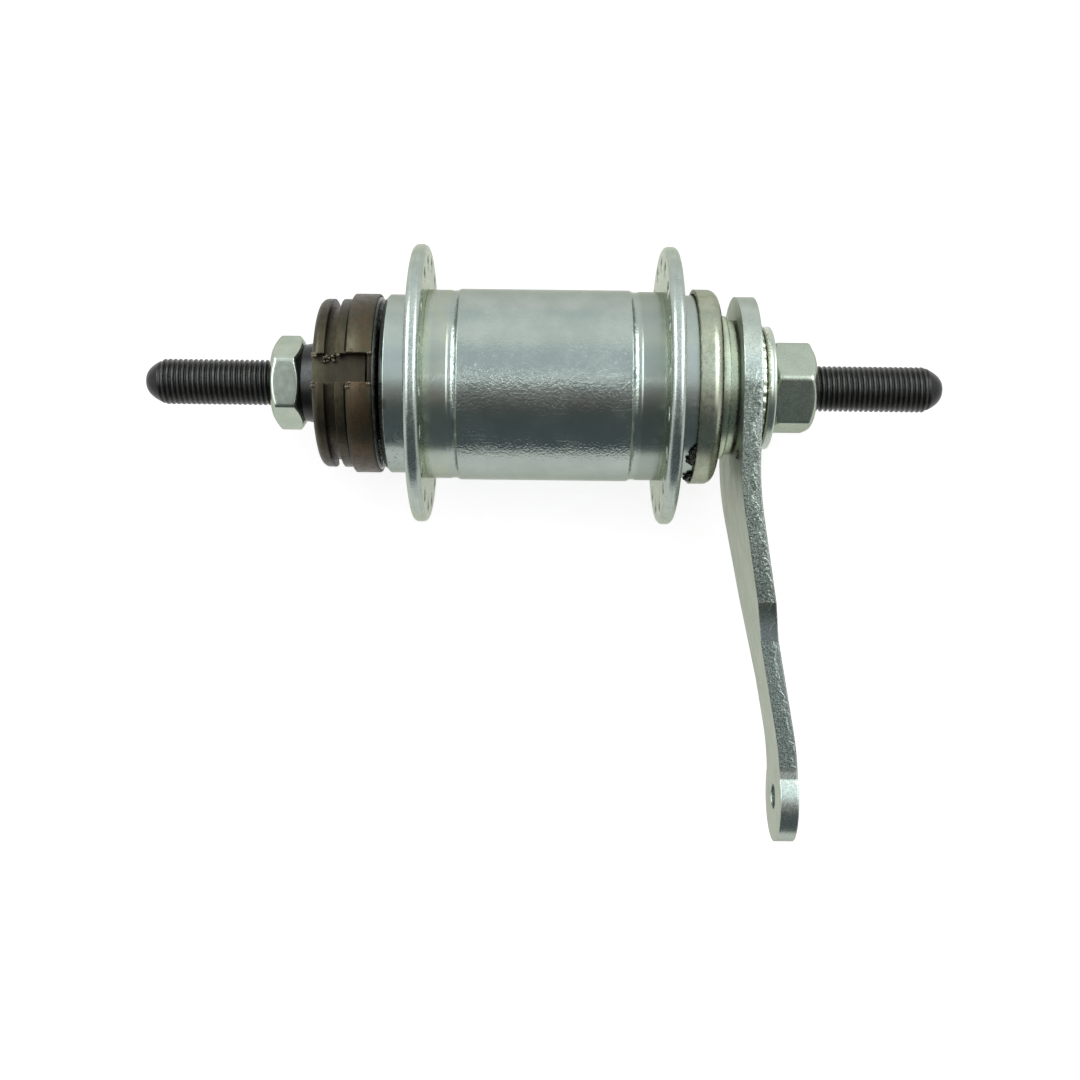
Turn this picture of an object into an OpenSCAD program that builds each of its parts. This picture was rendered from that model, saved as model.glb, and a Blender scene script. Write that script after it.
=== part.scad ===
// Coaster brake hub for a bicycle rear wheel.
// The axle lies along Y. The drive side is at -Y, the brake arm is on the +Y side and reaches along +X.
// The origin is on the axle, midway between the spoke flanges. All sizes are in millimetres.

/* [Axle] */
// Outside diameter of the axle's threaded ends
axle_d = 9.4; // [8.6:0.1:9.8]
// Diameter of the axle at the root of its thread, where the nuts and cones grip it
axle_core_d = 8.8; // [8:0.1:9]
// Length of the axle from tip to tip
axle_len = 165; // [140:1:190]
// Length of each domed axle tip
axle_tip_len = 4.6; // [2:0.2:8]

/* [Nuts] */
// Width across the flats of both nuts
nut_af = 17; // [15:0.5:19]
// Thickness of the drive side locknut
locknut_t = 6.3; // [4:0.1:9]
// Turn of the locknut away from a flat facing up, in degrees
locknut_turn = 6.5; // [-30:0.5:30]
// Height of the arm nut
arm_nut_t = 9; // [5:0.1:12]
// Turn of the arm nut away from a flat facing up, in degrees
arm_nut_turn = 23.5; // [-30:0.5:30]
// Diameter of the flat face left inside a nut's chamfer
nut_face_d = 16.2; // [13:0.2:16.4]
// Gap between the axle's thread and the countersink at each face of a nut
nut_sink_gap = 0.3; // [0.1:0.05:0.6]

/* [Adjusting cone] */
// Diameter of the cone where it meets the locknut
cone_outer_d = 15.8; // [13:0.2:16.4]
// Diameter of the cone where it enters the driver
cone_mouth_d = 17.2; // [15.5:0.1:17.4]
// Length of cone that shows between locknut and driver
cone_show = 3.7; // [1:0.1:8]

/* [Driver] */
// Diameter of the sprocket seat and the outer lip
seat_d = 34.6; // [34:0.1:36]
// Width of the outer lip
lip_w = 2.5; // [1.5:0.1:4]
// Rounding of the lip's outer corner
lip_round = 1.4; // [0.4:0.1:1.8]
// Width of the snap ring groove
snap_groove_w = 2.1; // [1:0.1:3]
// Diameter at the bottom of the snap ring groove
snap_groove_d = 31.2; // [30.8:0.1:33]
// Width of the sprocket land
land_w = 2.3; // [1.5:0.1:4]
// Diameter of the ring that the sprocket rests against
ring_d = 36.7; // [36:0.1:40]
// Width of that ring
ring_w = 3.8; // [2:0.1:6]
// Rounding of the ring's edges
ring_round = 0.4; // [0.1:0.1:0.8]
// Number of lug slots
slot_count = 3; // [2:1:4]
// Width of a lug slot
slot_w = 5.7; // [4:0.1:8]
// Depth of a lug slot below the sprocket seat
slot_depth = 2.05; // [1:0.05:2.1]
// Angle of the first lug slot from straight up, towards the back, in degrees
slot_angle = 3.5; // [-60:0.5:60]
// Width of the black dust cap behind the ring
driver_cap_w = 1.8; // [1:0.1:3]
// Outside diameter of that dust cap
driver_cap_d = 35.7; // [34:0.1:36.5]
// Gap between that dust cap and the shell's neck
driver_cap_gap = 0.7; // [0.4:0.1:1.5]
// Diameter of the seat that carries that dust cap
driver_cap_seat_d = 30; // [28:0.2:31]

/* [Drive screw] */
// Outside diameter of the driver's screw
screw_d = 14.6; // [14:0.1:15.4]
// Diameter of the screw's core
screw_core_d = 12.6; // [12:0.1:13.2]
// Number of thread starts
screw_starts = 4; // [2:1:6]
// Advance of the screw in one turn
screw_lead = 27; // [18:1:40]
// Width of a thread ridge at its root
screw_ridge_w = 4; // [2:0.2:5]
// Share of that width that a ridge keeps at its crest
ridge_crest = 0.6; // [0.4:0.05:0.8]

/* [Shell] */
// Outside diameter of the barrel between its grooves
barrel_d = 39.3; // [39:0.1:44]
// Outside diameter of the barrel beside the flanges
flange_zone_d = 38.8; // [38.2:0.1:39]
// Inside diameter of the brake drum
drum_d = 32; // [31.6:0.1:33]
// Distance from the middle of the barrel to each groove
groove_y = 18.4; // [10:0.1:20]
// Depth of those grooves
groove_depth = 0.4; // [0.1:0.05:0.6]
// Radius of those grooves' section
groove_round = 2.2; // [1:0.1:3]
// Outside diameter of the drive side neck
drive_neck_d = 36.7; // [36:0.1:38]
// Length of the drive side neck outside the flange
drive_neck_len = 5.75; // [5:0.05:9]
// Outside diameter of the brake side neck
brake_neck_d = 37.6; // [37:0.1:38]
// Wall of a neck around its bearing cup
neck_wall = 1.8; // [1.2:0.1:2.4]
// Chamfer at the open end of a neck
neck_chamfer = 0.9; // [0.2:0.1:1.4]

/* [Flanges] */
// Distance between the middles of the spoke flanges
flange_gap = 50.4; // [48:0.1:58]
// Outside diameter of a spoke flange
flange_d = 57; // [56:0.5:66]
// Thickness of a spoke flange
flange_t = 2.9; // [2.2:0.1:3.4]
// Rounding of a spoke flange's rim
flange_round = 1.1; // [0.3:0.1:1.1]
// Number of spoke holes in one flange
spoke_count = 18; // [10:1:20]
// Diameter of the circle of spoke holes
spoke_pcd = 49.8; // [47:0.2:51]
// Diameter of a spoke hole
spoke_hole_d = 2.7; // [2.2:0.1:3]
// Depth of the countersink on both sides of a spoke hole
spoke_sink = 0.35; // [0.1:0.05:0.6]
// Angle of the first drive side spoke hole from +X, in degrees
spoke_angle = 2; // [0:1:20]

/* [Brake dust cap] */
// Outside diameter of the cap's rim
cap_d = 40; // [39.8:0.1:44]
// Length of the cap's rim
cap_rim_len = 4.8; // [4:0.1:7]
// Sheet thickness of the cap
cap_wall = 0.8; // [0.6:0.1:0.9]
// Rounding between the cap's rim and face
cap_round = 2.1; // [1:0.1:2.4]
// Length of brake side neck that shows beside the cap
neck_show = 3.55; // [2:0.05:6]
// Diameter of the cap's boss
boss_d = 29.5; // [28.6:0.1:33]
// Height of the boss over the cap's face
boss_h = 1.8; // [0.8:0.1:3]
// Diameter of the boss's outer step
boss_step_d = 27.8; // [26:0.1:28]
// Height of the outer step
boss_step_h = 1.5; // [0.8:0.1:3]

/* [Brake cone] */
// Diameter of the cone's body where it carries the arm
arm_seat_d = 23.6; // [22:0.2:23.8]
// Length of the cone's body that shows between cap and arm
arm_seat_show = 0.5; // [0.3:0.1:2]
// Diameter of the key that carries the arm
key_d = 19; // [15:0.2:20.5]
// Width across the key's two flats
key_flats = 15; // [12:0.2:16]
// Depth of the key's end below the outside of the arm
key_inset = 0.3; // [0.1:0.1:0.8]

/* [Brake arm] */
// Thickness of the arm's plate
arm_t = 3.7; // [2.5:0.1:5]
// Radius of the arm's round head
arm_head_r = 18.6; // [17:0.2:22]
// Distance from the axle to the arm's shoulder
arm_shoulder_x = 44; // [36:0.5:48]
// Half width of the arm at its shoulder
arm_shoulder_half = 12.6; // [11:0.1:15]
// Length of the shoulder on the upper edge
arm_shoulder_upper = 8; // [5:0.5:14]
// Length of the shoulder on the lower edge
arm_shoulder_lower = 17; // [8:0.5:20]
// Half width of the arm's strip
arm_strip_half = 7.7; // [6.5:0.1:8.5]
// Distance from the axle to the arm's eye
arm_eye_x = 84.8; // [78:0.2:110]
// Radius of the arm's eye
arm_eye_r = 9.1; // [8.6:0.1:12]
// Diameter of the clip hole in the arm's eye
clip_hole_d = 5.2; // [4:0.1:7]
// How far the eye is set outwards from the head
arm_offset = 9.7; // [2:0.1:12]
// Distance from the axle to where the arm starts to lean out
arm_bend_x = 15; // [14:0.5:26]
// Length over which the arm leans out
arm_bend_len = 67; // [40:1:67]
// Length of each of the two soft bends
arm_bend_soft = 12; // [6:1:18]

/* [Washers] */
// Diameter of the serrated lock washer
lock_washer_d = 24; // [20:0.2:26]
// Thickness of the serrated lock washer
lock_washer_t = 2; // [1:0.1:3]
// Number of serrations on the lock washer
serration_count = 36; // [18:1:40]
// Depth of a serration
serration_depth = 0.6; // [0.3:0.1:0.9]
// Diameter of the plain washer
arm_washer_d = 25.4; // [22:0.2:30]
// Thickness of the plain washer
arm_washer_t = 1.8; // [1:0.1:3]
// Rounding of the plain washer's edges
arm_washer_round = 0.4; // [0.1:0.1:0.45]

/* [Bearings] */
// Diameter of every bearing ball
ball_d = 4.76; // [4.4:0.02:4.8]
// Distance from one ball to the next along the ball circle
ball_spacing = 6.2; // [5.8:0.1:8]
// Radius of the ball circle on the adjusting cone
cone_pitch_r = 9.3; // [9.1:0.05:9.5]
// Depth of the cone bearing's balls inside the driver's face
cone_bearing_inset = 4.1; // [3.9:0.1:4.4]
// Wall of a pressed bearing cup
cup_wall = 1.3; // [0.9:0.1:1.8]
// Depth of a bearing cup's balls inside the neck's end
cup_inset = 3; // [2.9:0.1:3.6]
// Radial thickness of a ball cage
cage_t = 1.6; // [1:0.1:1.8]
// Width of a ball cage's rail beside the balls
cage_rail = 0.7; // [0.4:0.1:0.9]
// Part of the ball's radius up to which a race wraps round it
race_wrap = 0.5; // [0.4:0.05:0.6]
// Thickness of the dust cap in the driver's mouth
cone_cap_t = 0.8; // [0.5:0.1:0.9]

/* [Clutch and shoes] */
// Thickness of the shell's web beside the drive cup
web_t = 1.95; // [1.5:0.05:3]
// Length of the shell's drive taper
drive_taper_len = 9.4; // [7:0.1:11]
// Largest diameter of the shell's drive taper
drive_taper_d = 29.7; // [28.4:0.1:31]
// Rise of the drive taper per length
drive_taper_rise = 0.25; // [0.15:0.01:0.27]
// Rise of the brake tapers per length
brake_taper_rise = 0.2; // [0.12:0.01:0.24]
// Width of the clutch cone's rim beyond its drive taper
clutch_rim_w = 1.5; // [1:0.1:3]
// Diameter of the clutch cone's nose at its root
nose_d = 21.8; // [20.6:0.1:22]
// Length of the clutch cone's nose
nose_len = 7.4; // [5:0.1:9]
// Width of the lip that keeps the retarder spring in its groove
spring_lip_w = 0.8; // [0.6:0.1:1]
// Travel of the clutch cone from drive to brake
clutch_travel = 2.4; // [1:0.1:2.6]
// Wire diameter of the retarder spring
spring_wire_d = 1.6; // [1:0.1:2]
// Open arc of the retarder spring, in degrees
spring_open = 40; // [20:5:90]
// Reach of the retarder spring's leg between the shoes
spring_leg = 6; // [3:0.5:12]
// Length of a brake shoe
shoe_len = 29.5; // [26:0.5:34]
// Inside diameter of a brake shoe in its middle
shoe_bore_d = 19; // [17.6:0.1:19.6]
// Length of a brake shoe's taper on the brake cone
shoe_taper_len = 8.5; // [7:0.1:9]
// Open arc between the two brake shoes, in degrees
shoe_split = 24; // [20:1:40]
// Width of a brake shoe's key
shoe_key_w = 4; // [3:0.1:5]
// Length of a brake shoe's key
shoe_key_len = 4.5; // [3:0.1:5]
// Depth of a brake shoe's key below the shoe's bore
shoe_key_depth = 2.4; // [1:0.1:2.5]

/* [Clearances] */
// Radial gap between threads that hold a piece on the axle
thread_gap = 0.05; // [0.02:0.01:0.1]
// Gap between a ball and its race
race_gap = 0.08; // [0.04:0.01:0.15]
// Gap between a ball and its cage
cage_gap = 0.15; // [0.1:0.01:0.25]
// Gap between pieces that move past each other
run_gap = 0.3; // [0.25:0.01:0.4]
// Gap between a brake shoe and the drum at rest
shoe_gap = 0.36; // [0.34:0.01:0.6]
// Gap around a keyed fit
key_gap = 0.15; // [0.05:0.01:0.3]
// Overshoot of a cutting shape past the face that it leaves
cut = 1; // [0.5:0.1:3]

/* [Hidden] */
$fn = 96;

// Radii that several pieces share
axle_r = axle_d / 2;
axle_core_r = axle_core_d / 2;
thread_r = axle_core_r + thread_gap;
ball_r = ball_d / 2;
race_r = ball_r + race_gap;
drum_r = drum_d / 2;
seat_r = seat_d / 2;
ring_r = ring_d / 2;
drive_neck_r = drive_neck_d / 2;
brake_neck_r = brake_neck_d / 2;
driver_bore_r = axle_r + run_gap;
slot_floor_r = seat_r - slot_depth;
driver_cap_seat_r = driver_cap_seat_d / 2;

// Places along the axle on the drive side, from the flange outwards
drive_flange_y = -flange_gap / 2;
drive_flange_out = drive_flange_y - flange_t / 2;
drive_neck_y = drive_flange_out - drive_neck_len;
driver_cap_end = drive_neck_y - driver_cap_gap;
driver_cap_y = driver_cap_end - driver_cap_w;
ring_y = driver_cap_y - ring_w;
land_y = ring_y - land_w;
snap_groove_y = land_y - snap_groove_w;
driver_y = snap_groove_y - lip_w;
cone_y = driver_y - cone_show;
locknut_y = cone_y - locknut_t;

// Places along the axle on the brake side, from the flange outwards
brake_flange_y = flange_gap / 2;
brake_flange_out = brake_flange_y + flange_t / 2;
cap_y = brake_flange_out + neck_show;
cap_face_y = cap_y + cap_rim_len;
brake_neck_y = cap_face_y - 2 * cap_wall - run_gap;
boss_y = cap_face_y + boss_h;
boss_step_y = boss_y + boss_step_h;
arm_y = boss_step_y + arm_seat_show;
arm_out = arm_y + arm_t;
arm_washer_y = arm_out + lock_washer_t;
arm_nut_y = arm_washer_y + arm_washer_t;
arm_nut_end = arm_nut_y + arm_nut_t;

// Bearings: the middle of each row of balls and the pieces around it
cone_bearing_y = driver_y + cone_bearing_inset;
drive_bearing_y = drive_neck_y + cup_inset;
brake_bearing_y = brake_neck_y - cup_inset;
drive_cup_r = drive_neck_r - neck_wall;
brake_cup_r = brake_neck_r - neck_wall;
drive_pitch_r = drive_cup_r - cup_wall - race_r;
brake_pitch_r = brake_cup_r - cup_wall - race_r;
// A cage's rail reaches this far beside its row of balls, and the cup runs on past it
cage_reach = ball_r + cage_gap + cage_rail;
drive_cup_end = drive_bearing_y + cage_reach + run_gap;
brake_cup_end = brake_bearing_y - cage_reach - run_gap;
// Radius of the driver's cup for the cone bearing, and of the wider mouth that holds its dust cap
cone_cup_r = cone_pitch_r + race_r;
mouth_r = cone_cup_r + cone_cap_t / 2;

// Clutch cone, from its drive end to its nose
taper_y = drive_cup_end + web_t;
taper_end = taper_y + drive_taper_len;
taper_big_r = drive_taper_d / 2;
taper_small_r = taper_big_r - drive_taper_rise * drive_taper_len;
clutch_y = taper_y + run_gap;
clutch_rim_y = taper_end;
spring_groove_y = clutch_rim_y + clutch_rim_w;
spring_groove_w = spring_wire_d + run_gap;
nose_y = spring_groove_y + spring_groove_w;
nose_end = nose_y + nose_len;
nose_r = nose_d / 2;
spring_lip_r = nose_r + run_gap + spring_wire_d / 2;
spring_groove_r = nose_r + run_gap / 2;
spring_r = spring_groove_r + key_gap + spring_wire_d / 2;
spring_leg_r = spring_lip_r + run_gap + spring_wire_d / 2;
spring_y = spring_groove_y + spring_groove_w / 2;
screw_r = screw_d / 2;
screw_core_r = screw_core_d / 2;
clutch_bore_r = screw_r + run_gap;
shank_y = drive_cup_end + run_gap;
screw_end = nose_end - run_gap;
// Steps in which a thread ridge is twisted
ridge_steps = 14;

// Brake shoes: half the clutch's travel along the axle lifts them up the brake cone
shoe_travel = clutch_travel / 2;
shoe_y = nose_y + spring_lip_w + shoe_travel + run_gap;
shoe_end = shoe_y + shoe_len;
shoe_r = drum_r - shoe_gap;
shoe_bore_r = shoe_bore_d / 2;
shoe_taper_y = shoe_end - shoe_taper_len;
shoe_arc = 180 - shoe_split;
shoe_key_y = shoe_taper_y + run_gap;
shoe_key_end = shoe_key_y + shoe_key_len;
shoe_key_r = shoe_bore_r - shoe_key_depth;

// Brake cone
brake_cone_y = shoe_taper_y - run_gap;
brake_race_r = brake_pitch_r - race_r;
brake_taper_end = shoe_taper_y + (brake_race_r + run_gap - shoe_bore_r) / brake_taper_rise;
arm_seat_r = arm_seat_d / 2;
key_end = arm_out - key_inset;

// A turned piece: a half section, drawn as radius against place along the axle, spun about the axle
module turned() {
    along_axle() rotate_extrude() children();
}

// Turns a shape drawn upwards so that it runs along the axle
module along_axle() {
    rotate([-90, 0, 0]) children();
}

// A copy of a shape at each of count places round the axle, starting at an angle from +X towards +Z
module round_axle(count, start) {
    for (i = [0 : count - 1])
        along_axle() rotate([0, 0, -start - i * 360 / count]) children();
}

// Half section of a plain ring
module ring_section(r_in, r_out, y_low, y_high) {
    translate([r_in, y_low]) square([r_out - r_in, y_high - y_low]);
}

// What rounding takes off an outer corner; side is 1 at the corner's high end and -1 at its low end
module corner_waste(r, y, corner, side) {
    difference() {
        translate([r - corner, side > 0 ? y - corner : y - cut]) square(corner + cut);
        translate([r - corner, y - side * corner]) circle(corner);
    }
}

// Half section of a ring with both outer corners rounded
module soft_ring_section(r_in, r_out, y_low, y_high, corner) {
    difference() {
        ring_section(r_in, r_out, y_low, y_high);
        corner_waste(r_out, y_low, corner, -1);
        corner_waste(r_out, y_high, corner, 1);
    }
}

// Section of the track that a row of balls runs in
module ball_track(pitch_r, y) {
    translate([pitch_r, y]) circle(race_r);
}

function ball_count(pitch_r) = floor(2 * PI * pitch_r / ball_spacing);

// A row of balls
module ball_row(pitch_r, y, r) {
    round_axle(ball_count(pitch_r), 0) translate([pitch_r, 0, y]) sphere(r);
}

// A ball cage: fingers between the balls and a rail on the side that the races leave open
module ball_cage(pitch_r, y, rail_side) {
    inner_r = pitch_r - cage_t / 2;
    finger = ball_r / 2;
    difference() {
        turned() ring_section(
            inner_r, inner_r + cage_t,
            rail_side > 0 ? y - finger : y - cage_reach,
            rail_side > 0 ? y + cage_reach : y + finger
        );
        ball_row(pitch_r, y, ball_r + cage_gap);
    }
}

// A hex nut with its corners chamfered at both faces
module hex_nut(y, t, turn) {
    corner_r = nut_af / 2 / cos(30);
    face_r = nut_face_d / 2;
    // The chamfer cones meet outside the corners
    chamfer_r = face_r + t / 2 / tan(30);
    sink_r = axle_r + nut_sink_gap;
    sink = sink_r - thread_r;
    difference() {
        intersection() {
            along_axle() rotate([0, 0, turn]) translate([0, 0, y])
                cylinder(r = corner_r, h = t, $fn = 6);
            turned() polygon([[0, y], [face_r, y], [chamfer_r, y + t / 2], [face_r, y + t], [0, y + t]]);
        }
        turned() polygon([
            [0, y - cut], [sink_r, y - cut], [sink_r, y], [thread_r, y + sink],
            [thread_r, y + t - sink], [sink_r, y + t], [sink_r, y + t + cut], [0, y + t + cut]
        ]);
    }
}

module axle() {
    half = axle_len / 2;
    tip_steps = 6;
    // A blunt dome: fast at the tip, then easing into the full diameter
    tip_power = 0.45;
    tip = [for (i = [0 : tip_steps])
        let (h = axle_tip_len * i / tip_steps) [axle_r * pow(i / tip_steps, tip_power), half - h]];
    far_tip = [for (i = [tip_steps : -1 : 0]) [tip[i][0], -tip[i][1]]];
    grip = [
        [axle_r, arm_nut_end], [axle_core_r, arm_nut_end],
        [axle_core_r, locknut_y], [axle_r, locknut_y]
    ];
    color("#2b2d30") turned() polygon(concat(tip, grip, far_tip));
}

module drive_locknut() {
    color("#b9bdb8") hex_nut(locknut_y, locknut_t, locknut_turn);
}

module adjusting_cone() {
    inner_end = cone_bearing_y + ball_r;
    color("#26282a") turned() difference() {
        polygon([
            [thread_r, cone_y], [cone_outer_d / 2, cone_y], [cone_mouth_d / 2, driver_y],
            [cone_mouth_d / 2, cone_bearing_y], [cone_pitch_r - race_r, cone_bearing_y],
            [cone_pitch_r - race_r, inner_end], [thread_r, inner_end]
        ]);
        ball_track(cone_pitch_r, cone_bearing_y);
    }
}

module cone_bearing_balls() {
    color("#d6d9dc") ball_row(cone_pitch_r, cone_bearing_y, ball_r);
}

module cone_bearing_cage() {
    color("#9a9f94") ball_cage(cone_pitch_r, cone_bearing_y, 1);
}

module cone_dust_cap() {
    inner_r = cone_mouth_d / 2 + run_gap;
    color("#4a4c4e") turned()
        ring_section(inner_r, mouth_r, driver_y, driver_y + cone_cap_t);
}

// Half section of the driver before its lug slots are cut
module driver_section() {
    pocket_r = cone_pitch_r + ball_r * race_wrap;
    pocket_y = cone_bearing_y + cage_reach + run_gap;
    shoulder_r = drive_pitch_r - ball_r * race_wrap;
    drive_race_r = drive_pitch_r - race_r;
    difference() {
        polygon([
            [mouth_r, driver_y], [seat_r, driver_y], [seat_r, snap_groove_y],
            [snap_groove_d / 2, snap_groove_y], [snap_groove_d / 2, land_y], [seat_r, land_y],
            [seat_r, ring_y], [ring_r, ring_y], [ring_r, driver_cap_y],
            [driver_cap_seat_r, driver_cap_y], [driver_cap_seat_r, driver_cap_end],
            [shoulder_r, driver_cap_end], [shoulder_r, drive_bearing_y],
            [drive_race_r, drive_bearing_y], [drive_race_r, shank_y], [screw_core_r, shank_y],
            [screw_core_r, screw_end], [driver_bore_r, screw_end], [driver_bore_r, pocket_y],
            [pocket_r, pocket_y], [pocket_r, cone_bearing_y], [cone_cup_r, cone_bearing_y],
            [cone_cup_r, driver_y + cone_cap_t], [mouth_r, driver_y + cone_cap_t]
        ]);
        ball_track(cone_pitch_r, cone_bearing_y);
        ball_track(drive_pitch_r, drive_bearing_y);
        corner_waste(seat_r, driver_y, lip_round, -1);
        corner_waste(ring_r, ring_y, ring_round, -1);
        corner_waste(ring_r, driver_cap_y, ring_round, 1);
    }
}

// The ridges of the coarse screw that the clutch cone travels on
module screw_ridges() {
    length = screw_end - shank_y;
    root_r = (screw_core_r + driver_bore_r) / 2;
    half_root = screw_ridge_w / 2;
    half_crest = half_root * ridge_crest;
    round_axle(screw_starts, 0) translate([0, 0, shank_y])
        linear_extrude(height = length, twist = -360 * length / screw_lead, slices = ridge_steps, $fn = 4)
            polygon([
                [root_r, -half_root], [screw_r, -half_crest], [screw_r, half_crest], [root_r, half_root]
            ]);
}

module driver() {
    slot_len = driver_cap_y - driver_y;
    color("#5b4a38") union() {
        difference() {
            turned() driver_section();
            round_axle(slot_count, 90 + slot_angle)
                translate([slot_floor_r, -slot_w / 2, driver_y - cut])
                    cube([ring_r, slot_w, slot_len + cut]);
        }
        screw_ridges();
    }
}

module driver_dust_cap() {
    color("#1d1e1f") turned() soft_ring_section(
        driver_cap_seat_r, driver_cap_d / 2, driver_cap_y, driver_cap_end, driver_cap_w / 2 - ring_round / 2
    );
}

module driver_bearing_balls() {
    color("#d6d9dc") ball_row(drive_pitch_r, drive_bearing_y, ball_r);
}

module driver_bearing_cage() {
    color("#9a9f94") ball_cage(drive_pitch_r, drive_bearing_y, 1);
}

// Section of one of the rounded grooves round the barrel
module barrel_groove(y) {
    translate([barrel_d / 2 + groove_round - groove_depth, y]) circle(groove_round);
}

module hub_barrel() {
    barrel_r = barrel_d / 2;
    zone_r = flange_zone_d / 2;
    drive_seat_y = drive_flange_y + flange_t / 2;
    brake_seat_y = brake_flange_y - flange_t / 2;
    color("#aab0aa") turned() difference() {
        polygon([
            [drive_neck_r - neck_chamfer, drive_neck_y], [drive_neck_r, drive_neck_y + neck_chamfer],
            [drive_neck_r, drive_seat_y], [zone_r, drive_seat_y], [zone_r, -groove_y],
            [barrel_r, -groove_y], [barrel_r, groove_y], [zone_r, groove_y], [zone_r, brake_seat_y],
            [brake_neck_r, brake_seat_y], [brake_neck_r, brake_neck_y - neck_chamfer],
            [brake_neck_r - neck_chamfer, brake_neck_y], [brake_cup_r, brake_neck_y],
            [brake_cup_r, brake_cup_end], [drum_r, brake_cup_end], [drum_r, taper_end],
            [taper_big_r, taper_end], [taper_small_r, taper_y], [taper_small_r, drive_cup_end],
            [drive_cup_r, drive_cup_end], [drive_cup_r, drive_neck_y]
        ]);
        barrel_groove(-groove_y);
        barrel_groove(groove_y);
    }
}

// A spoke flange pressed onto a neck, with countersunk spoke holes
module spoke_flange(y, bore_r, start) {
    low = y - flange_t / 2;
    high = y + flange_t / 2;
    hole_r = spoke_hole_d / 2;
    color("#a3a99f") difference() {
        turned() soft_ring_section(bore_r, flange_d / 2, low, high, flange_round);
        round_axle(spoke_count, start) translate([spoke_pcd / 2, 0, 0]) {
            translate([0, 0, low - cut]) cylinder(r = hole_r, h = flange_t + 2 * cut);
            translate([0, 0, low - cut])
                cylinder(r1 = hole_r + spoke_sink + cut, r2 = hole_r, h = spoke_sink + cut);
            translate([0, 0, high - spoke_sink])
                cylinder(r1 = hole_r, r2 = hole_r + spoke_sink + cut, h = spoke_sink + cut);
        }
    }
}

module drive_flange() {
    spoke_flange(drive_flange_y, drive_neck_r, spoke_angle);
}

module brake_flange() {
    spoke_flange(brake_flange_y, brake_neck_r, spoke_angle + 180 / spoke_count);
}

// A bearing cup pressed into a neck, from its back to its open mouth
module bearing_cup(pitch_r, cup_r, y, back_y, mouth_y) {
    back_r = pitch_r + ball_r * race_wrap;
    open_r = pitch_r + race_r;
    color("#8f959a") turned() difference() {
        polygon([
            [back_r, back_y], [cup_r, back_y], [cup_r, mouth_y],
            [open_r, mouth_y], [open_r, y], [back_r, y]
        ]);
        ball_track(pitch_r, y);
    }
}

module drive_bearing_cup() {
    bearing_cup(drive_pitch_r, drive_cup_r, drive_bearing_y, drive_cup_end, drive_neck_y + run_gap);
}

module brake_bearing_cup() {
    bearing_cup(brake_pitch_r, brake_cup_r, brake_bearing_y, brake_cup_end, brake_neck_y - run_gap);
}

module clutch_cone() {
    rim_r = taper_big_r - run_gap;
    tail_r = taper_small_r + drive_taper_rise * (clutch_y - taper_y) - run_gap;
    lip_end = nose_y + spring_lip_w;
    root_r = nose_r - brake_taper_rise * spring_lip_w;
    tip_r = nose_r - brake_taper_rise * nose_len;
    color("#6f7378") turned() polygon([
        [clutch_bore_r, clutch_y], [tail_r, clutch_y], [rim_r, clutch_rim_y], [rim_r, spring_groove_y],
        [spring_groove_r, spring_groove_y], [spring_groove_r, nose_y], [spring_lip_r, nose_y],
        [spring_lip_r, lip_end], [root_r, lip_end], [tip_r, nose_end], [clutch_bore_r, nose_end]
    ]);
}

// An open wire ring round the clutch cone, with a leg that reaches between the shoes
module retarder_spring() {
    wire_r = spring_wire_d / 2;
    leg_end = shoe_y + spring_leg;
    color("#8a8f95") along_axle() union() {
        translate([0, 0, spring_y]) rotate_extrude(angle = 360 - spring_open)
            translate([spring_r, 0]) circle(wire_r);
        translate([spring_leg_r, 0, spring_y]) sphere(wire_r);
        translate([spring_leg_r, 0, spring_y]) cylinder(r = wire_r, h = leg_end - spring_y);
    }
}

// Half section of a brake shoe, with a taper at each end
module shoe_section() {
    nose_clear = nose_r + run_gap;
    entry_r = nose_clear - brake_taper_rise * (shoe_y - nose_y);
    bore_y = nose_y + (nose_clear - shoe_bore_r) / brake_taper_rise;
    exit_r = shoe_bore_r + brake_taper_rise * shoe_taper_len;
    polygon([
        [entry_r, shoe_y], [shoe_r, shoe_y], [shoe_r, shoe_end], [exit_r, shoe_end],
        [shoe_bore_r, shoe_taper_y], [shoe_bore_r, bore_y]
    ]);
}

// The upper brake shoe: just under half a sleeve, with a key that slides in the brake cone's slot
module brake_shoe() {
    key_top = (shoe_bore_r + shoe_r) / 2;
    color("#7d6a4a") union() {
        along_axle() rotate([0, 0, -90 - shoe_arc / 2]) rotate_extrude(angle = shoe_arc) shoe_section();
        translate([-shoe_key_w / 2, shoe_key_y, shoe_key_r])
            cube([shoe_key_w, shoe_key_len, key_top - shoe_key_r]);
    }
}

module brake_shoe_upper() {
    brake_shoe();
}

module brake_shoe_lower() {
    mirror([0, 0, 1]) brake_shoe();
}

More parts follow.
